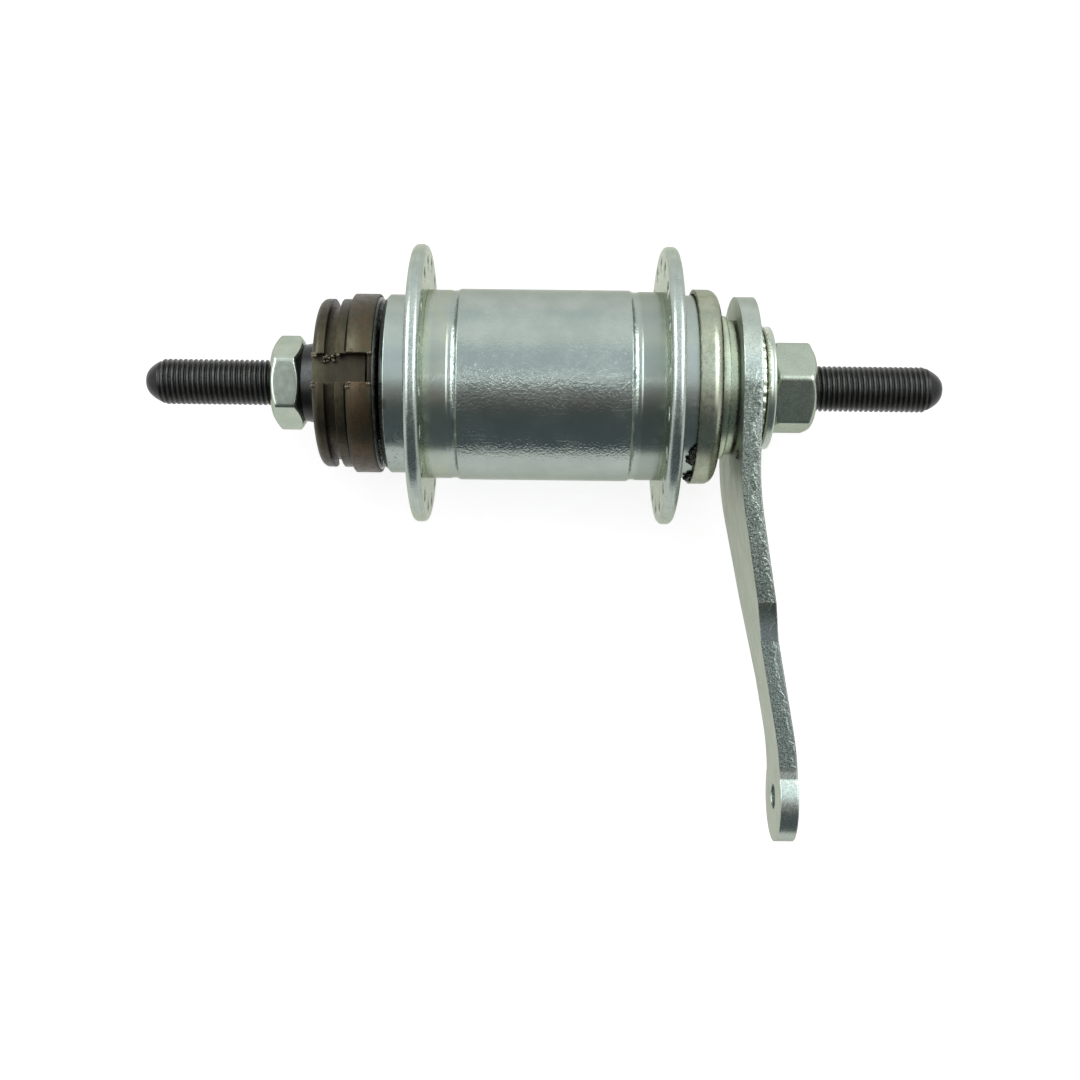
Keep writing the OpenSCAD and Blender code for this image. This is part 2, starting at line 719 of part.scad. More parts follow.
module brake_cone() {
    slot_w_cone = shoe_key_w + 2 * run_gap;
    slot_floor = shoe_key_r - run_gap;
    slot_end = shoe_key_end + shoe_travel + run_gap;
    shoulder_r = brake_pitch_r - ball_r * race_wrap;
    start_r = shoe_bore_r - run_gap - brake_taper_rise * (shoe_taper_y - brake_cone_y);
    key_r = key_d / 2;
    color("#8d9398") difference() {
        turned() difference() {
            polygon([
                [thread_r, brake_cone_y], [start_r, brake_cone_y],
                [brake_race_r, brake_taper_end], [brake_race_r, brake_bearing_y],
                [shoulder_r, brake_bearing_y], [shoulder_r, brake_neck_y],
                [arm_seat_r, brake_neck_y], [arm_seat_r, arm_y],
                [key_r, arm_y], [key_r, key_end], [thread_r, key_end]
            ]);
            ball_track(brake_pitch_r, brake_bearing_y);
        }
        // Slots for the brake shoes' keys
        for (side = [0, 1]) mirror([0, 0, side])
            translate([-slot_w_cone / 2, brake_cone_y - cut, slot_floor])
                cube([slot_w_cone, slot_end - brake_cone_y + cut, drum_r]);
        // Flats that keep the arm from turning
        for (side = [0, 1]) mirror([0, 0, side])
            translate([-key_r, arm_y, key_flats / 2]) cube([key_d, arm_t, key_r]);
    }
}

module brake_bearing_balls() {
    color("#d6d9dc") ball_row(brake_pitch_r, brake_bearing_y, ball_r);
}

module brake_bearing_cage() {
    color("#9a9f94") ball_cage(brake_pitch_r, brake_bearing_y, -1);
}

module brake_dust_cap() {
    rim_r = cap_d / 2;
    boss_r = boss_d / 2;
    step_r = boss_step_d / 2;
    color("#a9aa8c") turned() difference() {
        polygon([
            [rim_r, cap_y], [rim_r, cap_face_y], [boss_r, cap_face_y], [boss_r, boss_y],
            [step_r, boss_y], [step_r, boss_step_y], [arm_seat_r, boss_step_y],
            [arm_seat_r, boss_step_y - cap_wall], [step_r - cap_wall, boss_step_y - cap_wall],
            [step_r - cap_wall, boss_y - cap_wall], [boss_r - cap_wall, boss_y - cap_wall],
            [boss_r - cap_wall, cap_face_y - cap_wall], [rim_r - cap_wall, cap_face_y - cap_wall],
            [rim_r - cap_wall, cap_y]
        ]);
        corner_waste(rim_r, cap_face_y, cap_round, 1);
    }
}

// Outline of the arm seen along the axle; upper is the edge towards +Z
module arm_outline() {
    reach = norm([arm_shoulder_x, arm_shoulder_half]);
    // Direction of the point where the arm's flank leaves its round head
    flank = atan2(arm_shoulder_half, arm_shoulder_x) + acos(arm_head_r / reach);
    flank_x = arm_head_r * cos(flank);
    flank_half = arm_head_r * sin(flank);
    difference() {
        union() {
            circle(arm_head_r);
            polygon([
                [flank_x, -flank_half], [arm_shoulder_x, -arm_shoulder_half],
                [arm_shoulder_x + arm_shoulder_upper, -arm_strip_half], [arm_eye_x, -arm_strip_half],
                [arm_eye_x, arm_strip_half], [arm_shoulder_x + arm_shoulder_lower, arm_strip_half],
                [arm_shoulder_x, arm_shoulder_half], [flank_x, flank_half]
            ]);
            translate([arm_eye_x, 0]) circle(arm_eye_r);
        }
        intersection() {
            circle(key_d / 2 + key_gap);
            square([key_d + cut, key_flats + 2 * key_gap], center = true);
        }
        translate([arm_eye_x, 0]) circle(clip_hole_d / 2);
    }
}

// How far the arm leans out at a distance from the axle: straight, with a soft bend at each end
function arm_lean(x) =
    let (
        run = arm_bend_len - arm_bend_soft,
        d = min(max(x - arm_bend_x, 0), arm_bend_len),
        into = min(d, arm_bend_soft),
        out = max(d - run, 0)
    )
    arm_offset / run * (into * into / 2 / arm_bend_soft + max(min(d, run) - arm_bend_soft, 0)
        + out - out * out / 2 / arm_bend_soft);

// The arm's plate seen from above: its thickness follows the lean
module arm_side_view() {
    bend_steps = 6;
    second_bend = arm_bend_x + arm_bend_len - arm_bend_soft;
    stations = concat(
        [-arm_head_r - cut],
        [for (i = [0 : bend_steps]) arm_bend_x + arm_bend_soft * i / bend_steps],
        [for (i = [0 : bend_steps]) second_bend + arm_bend_soft * i / bend_steps],
        [arm_eye_x + arm_eye_r + cut]
    );
    last = len(stations) - 1;
    polygon(concat(
        [for (x = stations) [x, arm_y + arm_lean(x)]],
        [for (i = [last : -1 : 0]) [stations[i], arm_out + arm_lean(stations[i])]]
    ));
}

module brake_arm() {
    height = 2 * (arm_head_r + cut);
    depth = arm_t + arm_offset + 2 * cut;
    color("#b3b8ad") intersection() {
        translate([0, 0, -height / 2]) linear_extrude(height) arm_side_view();
        along_axle() translate([0, 0, arm_y - cut]) linear_extrude(depth) arm_outline();
    }
}

module arm_lock_washer() {
    rim_r = lock_washer_d / 2;
    color("#c0c3bb") difference() {
        turned() ring_section(thread_r, rim_r, arm_out, arm_washer_y);
        round_axle(serration_count, 0) translate([rim_r, 0, arm_out - cut])
            cylinder(r = serration_depth, h = lock_washer_t + 2 * cut, $fn = 4);
    }
}

module arm_washer() {
    color("#b9bdb6") turned()
        soft_ring_section(thread_r, arm_washer_d / 2, arm_washer_y, arm_nut_y, arm_washer_round);
}

module arm_nut() {
    color("#bfc3bd") hex_nut(arm_nut_y, arm_nut_t, arm_nut_turn);
}

axle();
drive_locknut();
adjusting_cone();
cone_bearing_balls();
cone_bearing_cage();
cone_dust_cap();
driver();
driver_dust_cap();
driver_bearing_balls();
driver_bearing_cage();
hub_barrel();
drive_flange();
brake_flange();
drive_bearing_cup();
brake_bearing_cup();
clutch_cone();
retarder_spring();
brake_shoe_upper();
brake_shoe_lower();
brake_cone();
brake_bearing_balls();
brake_bearing_cage();
brake_dust_cap();
brake_arm();
arm_lock_washer();
arm_washer();
arm_nut();
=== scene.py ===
"""Looks of the coaster brake hub: finishes, axle thread, worn nuts and washer, oil and grease,
light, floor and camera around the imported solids."""

import math
import random

import bmesh
import bpy
from mathutils import Matrix, Vector


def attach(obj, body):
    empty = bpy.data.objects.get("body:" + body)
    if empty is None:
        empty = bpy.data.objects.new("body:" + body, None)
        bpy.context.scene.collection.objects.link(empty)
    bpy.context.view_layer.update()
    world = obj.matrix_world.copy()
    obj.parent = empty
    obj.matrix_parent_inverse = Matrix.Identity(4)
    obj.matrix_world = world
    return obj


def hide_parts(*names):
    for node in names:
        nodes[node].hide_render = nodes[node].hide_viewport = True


MM = 0.001
PER_MM = 1000.0

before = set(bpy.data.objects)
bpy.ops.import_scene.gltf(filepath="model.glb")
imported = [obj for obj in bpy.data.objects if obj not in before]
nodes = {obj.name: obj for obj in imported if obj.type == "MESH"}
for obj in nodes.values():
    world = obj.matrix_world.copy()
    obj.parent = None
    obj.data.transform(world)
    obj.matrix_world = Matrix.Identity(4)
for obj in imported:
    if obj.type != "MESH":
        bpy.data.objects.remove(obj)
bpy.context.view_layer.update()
scene = bpy.context.scene

# Places along the axle (Y) and radii round it, in millimetres, as in the part's source
AXLE_R = 4.7
AXLE_CORE_R = 4.4
AXLE_HALF = 82.5
DRIVE_NUT_FACE = 55.6
DRIVE_NUT_BACK = 49.3
BRAKE_NUT_FACE = 55.3
BRAKE_NUT_BACK = 46.3
FLANGE_R = 28.5
SLOT_COUNT = 3
# Angles in degrees. The first lug slot's is from straight up, towards the back
SLOT_ANGLE = 3.5
SLOT_PITCH = 360.0 / SLOT_COUNT
DRIVE_NUT_TURN = 6.4
BRAKE_NUT_TURN = 23.6


# ---- camera ----

IMAGE_PX = 1080
FOCAL_PX = 1328.2
SENSOR_MM = 36.0
CLIP_START = 0.01
CAMERA_AT = (0.03207, -0.00051, 0.276)
CAMERA_ROLL = 0.66

camera_data = bpy.data.cameras.new("camera")
camera_data.sensor_width = SENSOR_MM
camera_data.lens = FOCAL_PX / IMAGE_PX * SENSOR_MM
camera_data.clip_start = CLIP_START
camera = bpy.data.objects.new("camera", camera_data)
scene.collection.objects.link(camera)
# The picture's right is +Y, its top is -X, and the camera looks straight down
axes = Matrix(((0, -1, 0), (1, 0, 0), (0, 0, 1)))
turn = axes @ Matrix.Rotation(math.radians(CAMERA_ROLL), 3, "Z")
camera.matrix_world = Matrix.Translation(CAMERA_AT) @ turn.to_4x4()
scene.camera = camera


# ---- node trees ----

class Tree:
    """A node tree. An input takes a number, a colour or another node's output."""

    def __init__(self, tree):
        self.tree = tree
        tree.nodes.clear()

    def add(self, kind, **settings):
        node = self.tree.nodes.new(kind)
        for key, value in settings.items():
            setattr(node, key, value)
        return node

    def set(self, socket, value):
        if isinstance(value, bpy.types.NodeSocket):
            self.tree.links.new(value, socket)
        elif hasattr(value, "__len__") and len(value) == 3 and len(socket.default_value) == 4:
            socket.default_value = (*value, 1.0)
        else:
            socket.default_value = value

    def show(self, shader, output="ShaderNodeOutputMaterial"):
        """Make a shader the tree's result"""
        self.set(self.add(output).inputs["Surface"], shader.outputs[0])

    def math(self, operation, a, b=0.0):
        node = self.add("ShaderNodeMath", operation=operation)
        self.set(node.inputs[0], a)
        self.set(node.inputs[1], b)
        return node.outputs[0]

    def times(self, *values):
        result = values[0]
        for value in values[1:]:
            result = self.math("MULTIPLY", result, value)
        return result

    def line(self, value, low, high, to_low=0.0, to_high=1.0, interpolation="LINEAR"):
        """value from low..high mapped to to_low..to_high and kept within them"""
        node = self.add("ShaderNodeMapRange", interpolation_type=interpolation)
        self.set(node.inputs["Value"], value)
        self.set(node.inputs["From Min"], low)
        self.set(node.inputs["From Max"], high)
        self.set(node.inputs["To Min"], to_low)
        self.set(node.inputs["To Max"], to_high)
        return node.outputs[0]

    def span(self, value, low, high, to_low=0.0, to_high=1.0):
        """The same with soft ends"""
        return self.line(value, low, high, to_low, to_high, "SMOOTHSTEP")

    def between(self, value, low, high, soft):
        """1 between low and high, falling to 0 over soft outside them"""
        return self.times(self.span(value, low - soft, low), self.span(value, high + soft, high))

    def seen(self):
        """1 for what the camera sees, itself, in reflections or through glass"""
        rays = self.add("ShaderNodeLightPath").outputs
        bent = self.math("MAXIMUM", rays["Is Glossy Ray"], rays["Is Transmission Ray"])
        return self.math("MAXIMUM", rays["Is Camera Ray"], bent)


def new_material(name):
    material = bpy.data.materials.new(name)
    material.use_nodes = True
    return material


class Graph(Tree):
    """A finish. Its textures run on the object's own coordinates, in millimetres."""

    def __init__(self, name):
        self.material = new_material(name)
        super().__init__(self.material.node_tree)
        self.bsdf = self.add("ShaderNodeBsdfPrincipled")
        self.show(self.bsdf)
        coord = self.add("ShaderNodeTexCoord")
        self.normal = coord.outputs["Normal"]
        scaled = self.add("ShaderNodeVectorMath", operation="SCALE")
        self.set(scaled.inputs[0], coord.outputs["Object"])
        self.set(scaled.inputs["Scale"], PER_MM)
        self.place = scaled.outputs[0]
        parts = self.add("ShaderNodeSeparateXYZ")
        self.set(parts.inputs[0], self.place)
        self.x, self.y, self.z = parts.outputs
        square = self.math("ADD", self.times(self.x, self.x), self.times(self.z, self.z))
        self.radius = self.math("SQRT", square)

    def scaled_place(self, size, stretch, shift):
        """The place in units of a feature size, longer along an axis by stretch"""
        node = self.add("ShaderNodeMapping")
        self.set(node.inputs["Vector"], self.place)
        self.set(node.inputs["Location"], shift)
        self.set(node.inputs["Scale"], tuple(1.0 / (size * s) for s in stretch))
        return node.outputs[0]

    def noise(self, size, detail, roughness, stretch=(1, 1, 1), seed=0.0, distortion=0.0):
        """Noise of about that feature size in millimetres"""
        place = self.scaled_place(size, stretch, (seed, seed * 0.7, -seed * 1.3))
        node = self.add("ShaderNodeTexNoise")
        self.set(node.inputs["Vector"], place)
        self.set(node.inputs["Scale"], 1.0)
        self.set(node.inputs["Detail"], detail)
        self.set(node.inputs["Roughness"], roughness)
        self.set(node.inputs["Distortion"], distortion)
        return node.outputs[0]

    def pits(self, size, seed, wide, narrow):
        """1 at scattered points, falling to 0 between two distances in units of their spacing"""
        place = self.scaled_place(size, (1, 1, 1), (seed, -seed, seed * 0.5))
        node = self.add("ShaderNodeTexVoronoi")
        self.set(node.inputs["Vector"], place)
        self.set(node.inputs["Scale"], 1.0)
        return self.span(node.outputs["Distance"], wide, narrow)

    def angle(self):
        """Angle round the axle from +Z towards +X, in radians"""
        return self.math("ARCTAN2", self.x, self.z)

    def near(self, y, far, close):
        """1 within close of a place along the axle, falling to 0 at far"""
        return self.span(self.math("ABSOLUTE", self.math("ADD", self.y, -y)), far, close)

    def mix(self, factor, a, b):
        node = self.add("ShaderNodeMix", data_type="RGBA", clamp_factor=True)
        self.set(node.inputs["Factor"], factor)
        self.set(node.inputs[6], a)
        self.set(node.inputs[7], b)
        return node.outputs[2]

    def mottle(self, noise, low, high, tones):
        """Two colours, mixed by a noise between two of its values"""
        return self.mix(self.span(noise, low, high), *tones)

    def blend(self, factor, a, b):
        node = self.add("ShaderNodeMix", data_type="FLOAT", clamp_factor=True)
        self.set(node.inputs["Factor"], factor)
        self.set(node.inputs[2], a)
        self.set(node.inputs[3], b)
        return node.outputs[0]

    def rounded(self, radius):
        """A normal that turns over edges as if they were rounded to that radius in millimetres"""
        node = self.add("ShaderNodeBevel", samples=6)
        self.set(node.inputs["Radius"], radius * MM)
        return node.outputs[0]

    def bump(self, height, depth, under=None):
        """A normal from a height of 0..1 that stands for depth millimetres"""
        node = self.add("ShaderNodeBump")
        self.set(node.inputs["Height"], height)
        self.set(node.inputs["Distance"], depth * MM)
        if under is not None:
            self.set(node.inputs["Normal"], under)
        return node.outputs[0]

    def finish(self, **inputs):
        for key, value in inputs.items():
            name = key.replace("_", " ").title().replace("Ior", "IOR")
            self.set(self.bsdf.inputs[name], value)
        return self.material


# ---- finishes ----

ZINC_WARM = (0.375, 0.405, 0.325)
RESIDUE = (0.20, 0.175, 0.09)
GRIME = (0.012, 0.011, 0.010)
PLATE_RIM = (0.62, 0.64, 0.58)


def zinc_plate():
    """Bright zinc on the barrel: drawn grain, faint stains and fine scratches"""
    tones = (0.325, 0.370, 0.342), (0.375, 0.420, 0.385)
    pale, dark, brown = (0.50, 0.545, 0.47), (0.275, 0.312, 0.28), (0.11, 0.07, 0.025)
    groove_out, flange_face = 18.9, 25.0
    dots_round, dots_low, dots_high = 180.0, 26.75, 27.0
    g = Graph("zinc_plate")
    cloud = g.noise(7.0, 4.0, 0.6)
    patch = g.noise(2.2, 5.0, 0.65, seed=3.0)
    colour = g.mottle(cloud, 0.35, 0.68, tones)
    # Between groove and flange: warmer, with residue by the flange and darker at the brake side;
    # paler towards the flange as a painted highlight
    out = g.math("ABSOLUTE", g.y)
    zone = g.between(out, groove_out, flange_face, 0.2)
    colour = g.mix(g.times(zone, g.span(patch, 0.30, 0.65), 0.8), colour, ZINC_WARM)
    # Paler towards the flange: a painted highlight that offsets the flange's dark reflection in the
    # barrel
    colour = g.mix(g.times(zone, g.span(out, 21.6, 23.6)), colour, pale)
    specks = g.span(g.noise(0.9, 4.0, 0.6, seed=12.0), 0.45, 0.60)
    root = g.times(zone, g.span(out, 23.3, 23.75), specks)
    colour = g.mix(g.times(root, 0.15), colour, RESIDUE)
    colour = g.mix(g.times(g.between(g.y, 19.4, 23.0, 1.2), 0.85), colour, dark)
    # Flecks and a brown stain on the drive side's neck, a row of dots on the brake side's
    neck = g.times(g.span(g.y, -27.6, -28.4), g.span(g.x, 8.0, 13.0))
    flecks = g.times(neck, g.span(g.noise(0.75, 4.0, 0.7, seed=9.0), 0.60, 0.65))
    colour = g.mix(g.times(flecks, 0.8), colour, GRIME)
    lower = g.between(g.x, 6.0, 12.0, 1.5)
    stain = g.times(g.span(g.y, -30.4, -31.6), lower, g.span(patch, 0.4, 0.6))
    colour = g.mix(g.times(stain, 0.75), colour, brown)
    dots = g.span(g.math("SINE", g.times(g.angle(), dots_round)), 0.0, 0.6)
    dots = g.times(dots, g.between(g.y, dots_low, dots_high, 0.12))
    colour = g.mix(g.times(dots, 0.75), colour, GRIME)
    # The grain is strong between the grooves and nearly gone outside them
    calm = g.span(out, 17.8, 18.6)
    dull = g.span(g.noise(1.3, 5.0, 0.7, seed=5.0), 0.3, 0.75, 0.09, 0.17)
    dull = g.blend(calm, dull, 0.23)
    grain = g.times(g.noise(0.54, 2.0, 0.64, seed=2.0), g.blend(calm, 1.0, 0.2))
    swell = g.noise(2.4, 2.0, 0.5, stretch=(1, 2.0, 1), seed=6.0)
    scratch = g.span(g.noise(0.09, 1.0, 0.5, stretch=(1, 60, 1), seed=4.0), 0.60, 0.66)
    normal = g.bump(swell, 0.007, g.rounded(0.2))
    normal = g.bump(grain, 0.084, normal)
    normal = g.bump(g.times(scratch, g.span(cloud, 0.45, 0.6)), -0.004, normal)
    return g.finish(
        base_color=colour, metallic=1.0, roughness=dull, normal=normal, specular_tint=PLATE_RIM,
    )


def zinc_flange():
    """Zinc on the spoke flanges: brushed rim, yellow-brown residue at the root"""
    tones = (0.335, 0.380, 0.352), (0.395, 0.440, 0.405)
    brushed, rim = (0.26, 0.30, 0.29), (0.76, 0.79, 0.67)
    g = Graph("zinc_flange")
    cloud = g.noise(4.0, 4.0, 0.6, seed=1.0)
    patch = g.noise(1.4, 5.0, 0.65, seed=8.0)
    colour = g.mottle(cloud, 0.35, 0.68, tones)
    face = g.span(g.radius, 27.2, 25.6)
    colour = g.mix(g.times(face, g.span(patch, 0.3, 0.7), 0.85), colour, ZINC_WARM)
    root = g.times(g.span(g.radius, 20.8, 19.7), g.span(patch, 0.36, 0.58))
    colour = g.mix(g.times(root, 0.3), colour, RESIDUE)
    dull = g.span(g.noise(0.8, 5.0, 0.7, seed=5.0), 0.3, 0.75, 0.20, 0.34)
    lines = g.noise(0.30, 2.0, 0.6, stretch=(45, 1, 45), seed=15.0)
    colour = g.mix(g.times(g.span(lines, 0.5, 0.62), 0.35), colour, brushed)
    grain = g.noise(0.40, 3.0, 0.6, seed=2.0)
    swell = g.noise(1.3, 3.0, 0.6, seed=6.0)
    normal = g.bump(lines, 0.02, g.bump(swell, 0.03, g.rounded(0.55)))
    normal = g.bump(grain, 0.020, normal)
    return g.finish(
        base_color=colour, metallic=1.0, roughness=dull, normal=normal, specular_tint=rim,
    )


def zinc_cap():
    """Yellowish passivated zinc on the pressed dust cap"""
    tones = (0.285, 0.308, 0.234), (0.352, 0.380, 0.297)
    boss_painted_light, pit_tone, edge_tone = (0.50, 0.57, 0.44), (0.09, 0.085, 0.05), (0.14, 0.12, 0.06)
    g = Graph("zinc_cap")
    cloud = g.noise(3.0, 4.0, 0.6, seed=4.0)
    patch = g.noise(0.9, 5.0, 0.7, seed=7.0)
    colour = g.mottle(cloud, 0.33, 0.68, tones)
    # The boss is painted lighter: a painted highlight that offsets the shade the arm casts on it
    boss = g.span(g.y, 35.6, 36.2)
    colour = g.mix(g.times(boss, 0.8), colour, boss_painted_light)
    pits = g.times(g.pits(1.4, 2.2, 0.16, 0.08), g.span(patch, 0.45, 0.6))
    colour = g.mix(g.times(pits, 0.7), colour, pit_tone)
    edge = g.times(g.span(g.y, 30.65, 30.25), g.span(patch, 0.4, 0.6))
    colour = g.mix(g.times(edge, 0.6), colour, edge_tone)
    dull = g.span(patch, 0.3, 0.75, 0.23, 0.36)
    rings = g.noise(0.10, 2.0, 0.6, stretch=(80, 1, 80), seed=2.0)
    normal = g.bump(rings, 0.005, g.bump(patch, 0.012, g.rounded(0.5)))
    return g.finish(
        base_color=colour, metallic=1.0, roughness=dull, normal=normal, specular_tint=PLATE_RIM,
    )


def zinc_nut():
    """Zinc on the two nuts: slightly pitted flats, duller and warmer at the brake side"""
    tones = (0.376, 0.424, 0.358), (0.43, 0.48, 0.408)
    brake_tone, pit_tone = (0.315, 0.340, 0.262), (0.13, 0.125, 0.10)
    g = Graph("zinc_nut")
    cloud = g.noise(3.5, 4.0, 0.6, seed=11.0)
    patch = g.noise(0.8, 5.0, 0.7, seed=13.0)
    colour = g.mottle(cloud, 0.35, 0.68, tones)
    colour = g.mix(g.times(g.span(g.y, 40.0, 46.0), 0.35), colour, brake_tone)
    pits = g.times(g.pits(1.6, 3.1, 0.13, 0.07), g.span(patch, 0.45, 0.6))
    colour = g.mix(g.times(pits, 0.6), colour, pit_tone)
    shine = g.span(g.y, -40.0, -46.0, 0.0, 0.09)
    dull = g.math("SUBTRACT", g.span(patch, 0.3, 0.75, 0.24, 0.31), shine)
    grain = g.noise(0.25, 3.0, 0.6, seed=2.0)
    normal = g.bump(grain, 0.001, g.bump(patch, 0.0015, g.rounded(0.2)))
    return g.finish(
        base_color=colour, metallic=1.0, roughness=dull, normal=normal, specular_tint=PLATE_RIM,
    )


def zinc_washer():
    """Zinc on the two washers: coarse bright grains on the lock washer and on the part of the
    other one next to it"""
    plain_tones = (0.365, 0.412, 0.355), (0.42, 0.468, 0.405)
    grain_tones = (0.33, 0.355, 0.28), (0.66, 0.70, 0.59)
    g = Graph("zinc_washer")
    beside = g.times(g.span(g.y, 45.5, 45.1), g.span(g.x, 4.0, 1.0))
    coarse = g.math("MAXIMUM", g.span(g.y, 44.6, 44.4), beside)
    grains = g.noise(0.55, 4.0, 0.7, seed=17.0)
    cloud = g.noise(3.5, 4.0, 0.6, seed=11.0)
    plain = g.mottle(cloud, 0.35, 0.68, plain_tones)
    rough = g.mottle(grains, 0.40, 0.60, grain_tones)
    colour = g.mix(coarse, plain, rough)
    plain_dull = g.span(cloud, 0.3, 0.7, 0.24, 0.31)
    dull = g.blend(coarse, plain_dull, g.span(grains, 0.3, 0.7, 0.32, 0.18))
    normal = g.bump(g.times(grains, coarse), 0.10, g.rounded(0.2))
    return g.finish(base_color=colour, metallic=1.0, roughness=dull, normal=normal)


def zinc_arm():
    """Zinc on the blanked arm: smooth faces, a sheared and torn edge"""
    face_tones = (0.412, 0.456, 0.378), (0.47, 0.50, 0.44)
    torn_tones = (0.070, 0.087, 0.075), (0.205, 0.23, 0.20)
    edge_tones = (0.35, 0.395, 0.355), (0.41, 0.455, 0.41)
    step_highlight_tones = (0.26, 0.28, 0.24), (0.80, 0.84, 0.80)
    streak_tone, glint, shade = (0.36, 0.37, 0.32), (0.62, 0.66, 0.58), (0.105, 0.130, 0.125)
    inner_face, bend_from, bend_to, bend_offset = 38.8, 21.0, 76.0, 9.7
    g = Graph("zinc_arm")
    # How far a place lies through the sheet, whose inner face leans outwards along the arm
    lean = g.line(g.x, bend_from, bend_to, 0.0, bend_offset)
    across = g.math("SUBTRACT", g.math("SUBTRACT", g.y, inner_face), lean)
    facing = g.add("ShaderNodeSeparateXYZ")
    g.set(facing.inputs[0], g.normal)
    edge = g.span(g.math("ABSOLUTE", facing.outputs[1]), 0.62, 0.45)
    cloud = g.noise(6.0, 4.0, 0.6, seed=21.0)
    streak = g.noise(1.1, 4.0, 0.65, stretch=(5, 1, 1), seed=23.0)
    face_colour = g.mottle(cloud, 0.35, 0.68, face_tones)
    face_colour = g.mix(g.times(g.span(streak, 0.5, 0.75), 0.5), face_colour, streak_tone)
    # The edge is torn on its inner half, and smooth round both ends of the arm
    torn = g.times(g.span(g.x, -2.5, 1.5), g.span(g.x, 78.5, 77.0))
    shift = g.span(g.noise(2.6, 3.0, 0.6, seed=25.0), 0.3, 0.7, -0.8, 0.8)
    wander = g.math("ADD", across, shift)
    rough_half = g.times(torn, g.blend(g.span(wander, 2.9, 2.4), 0.45, 1.0))
    crumbs = g.noise(0.38, 4.0, 0.72, seed=27.0)
    edge_colour = g.mottle(crumbs, 0.38, 0.62, torn_tones)
    edge_colour = g.mix(g.span(crumbs, 0.62, 0.68), edge_colour, glint)
    smooth_edge = g.mottle(cloud, 0.35, 0.68, edge_tones)
    edge_colour = g.mix(rough_half, smooth_edge, edge_colour)
    # Painted shade along the outer half of the arm, and a painted highlight down the step in its
    # outline, on the step's faces that turn towards +X
    lower = g.times(g.span(g.x, 34.0, 48.0), torn)
    edge_colour = g.mix(g.times(lower, 0.5), edge_colour, shade)
    step = g.times(g.between(g.x, 44.0, 52.5, 0.6), g.span(facing.outputs[0], 0.06, 0.16))
    edge_colour = g.mix(step, edge_colour, g.mottle(g.x, 45.0, 51.5, step_highlight_tones))
    colour = g.mix(edge, face_colour, edge_colour)
    face_dull = g.span(streak, 0.3, 0.75, 0.30, 0.46)
    dull = g.blend(edge, face_dull, g.span(crumbs, 0.3, 0.75, 0.20, 0.38))
    lumps = g.times(g.noise(0.8, 4.0, 0.7, seed=29.0), 0.5)
    coarse = g.math("ADD", lumps, g.times(crumbs, 0.5))
    fine = g.noise(0.35, 3.0, 0.6, seed=2.0)
    normal = g.bump(fine, 0.008, g.bump(streak, 0.010, g.rounded(0.45)))
    normal = g.bump(g.times(coarse, edge, rough_half, g.blend(lower, 1.0, 0.55)), 0.27, normal)
    return g.finish(
        base_color=colour, metallic=1.0, roughness=dull, normal=normal, specular_tint=PLATE_RIM,
    )


def black_steel():
    """Black oxide on the axle and cone: the thread's crests are worn to grey"""
    tones, worn = ((0.009, 0.0095, 0.0085), (0.019, 0.020, 0.018)), (0.066, 0.069, 0.060)
    g = Graph("black_steel")
    wear = g.noise(1.2, 4.0, 0.65, seed=31.0)
    fine = g.noise(0.25, 4.0, 0.7, seed=33.0)
    top = g.times(g.span(g.radius, 4.45, 4.68), g.span(g.radius, 5.2, 4.9))
    crest = g.times(top, g.span(wear, 0.3, 0.75, 0.35, 1.0))
    colour = g.mottle(wear, 0.3, 0.7, tones)
    colour = g.mix(g.times(crest, g.span(fine, 0.35, 0.6, 0.45, 1.0)), colour, worn)
    dull = g.blend(crest, g.span(fine, 0.3, 0.7, 0.24, 0.40), 0.30)
    normal = g.bump(fine, 0.012, g.rounded(0.25))
    return g.finish(base_color=colour, metallic=0.55, roughness=dull, normal=normal)


def lug_slot(g):
    """1 in the driver's three lug slots"""
    turned = g.math("ADD", g.angle(), math.radians(SLOT_ANGLE))
    return g.span(g.math("COSINE", g.times(turned, float(SLOT_COUNT))), 0.80, 0.87)


def black_cap():
    """Black lacquer on the driver's dust cap, with smeared oil and a brown film next to the ring"""
    tones = (0.010, 0.0105, 0.0095), (0.040, 0.042, 0.037)
    film_tones, film_slot_shade = ((0.036, 0.032, 0.020), (0.056, 0.050, 0.034)), (0.020, 0.0175, 0.012)
    g = Graph("black_cap")
    smear = g.noise(1.5, 4.0, 0.65, stretch=(1, 3, 1), seed=41.0)
    colour = g.mottle(smear, 0.35, 0.7, tones)
    film = g.times(g.span(g.y, -33.60, -33.80), g.span(g.y, -36.0, -35.5))
    brown = g.mottle(smear, 0.35, 0.7, film_tones)
    # In the lug slots the film is painted darker: painted shade, as its face there turns up towards
    # the light
    brown = g.mix(lug_slot(g), brown, film_slot_shade)
    colour = g.mix(film, colour, brown)
    dull = g.blend(film, g.span(smear, 0.3, 0.7, 0.16, 0.36), 0.45)
    normal = g.bump(g.noise(0.5, 3.0, 0.6, seed=43.0), 0.02, g.rounded(0.3))
    return g.finish(
        base_color=colour, metallic=film, specular_ior_level=0.6, roughness=dull, normal=normal,
    )


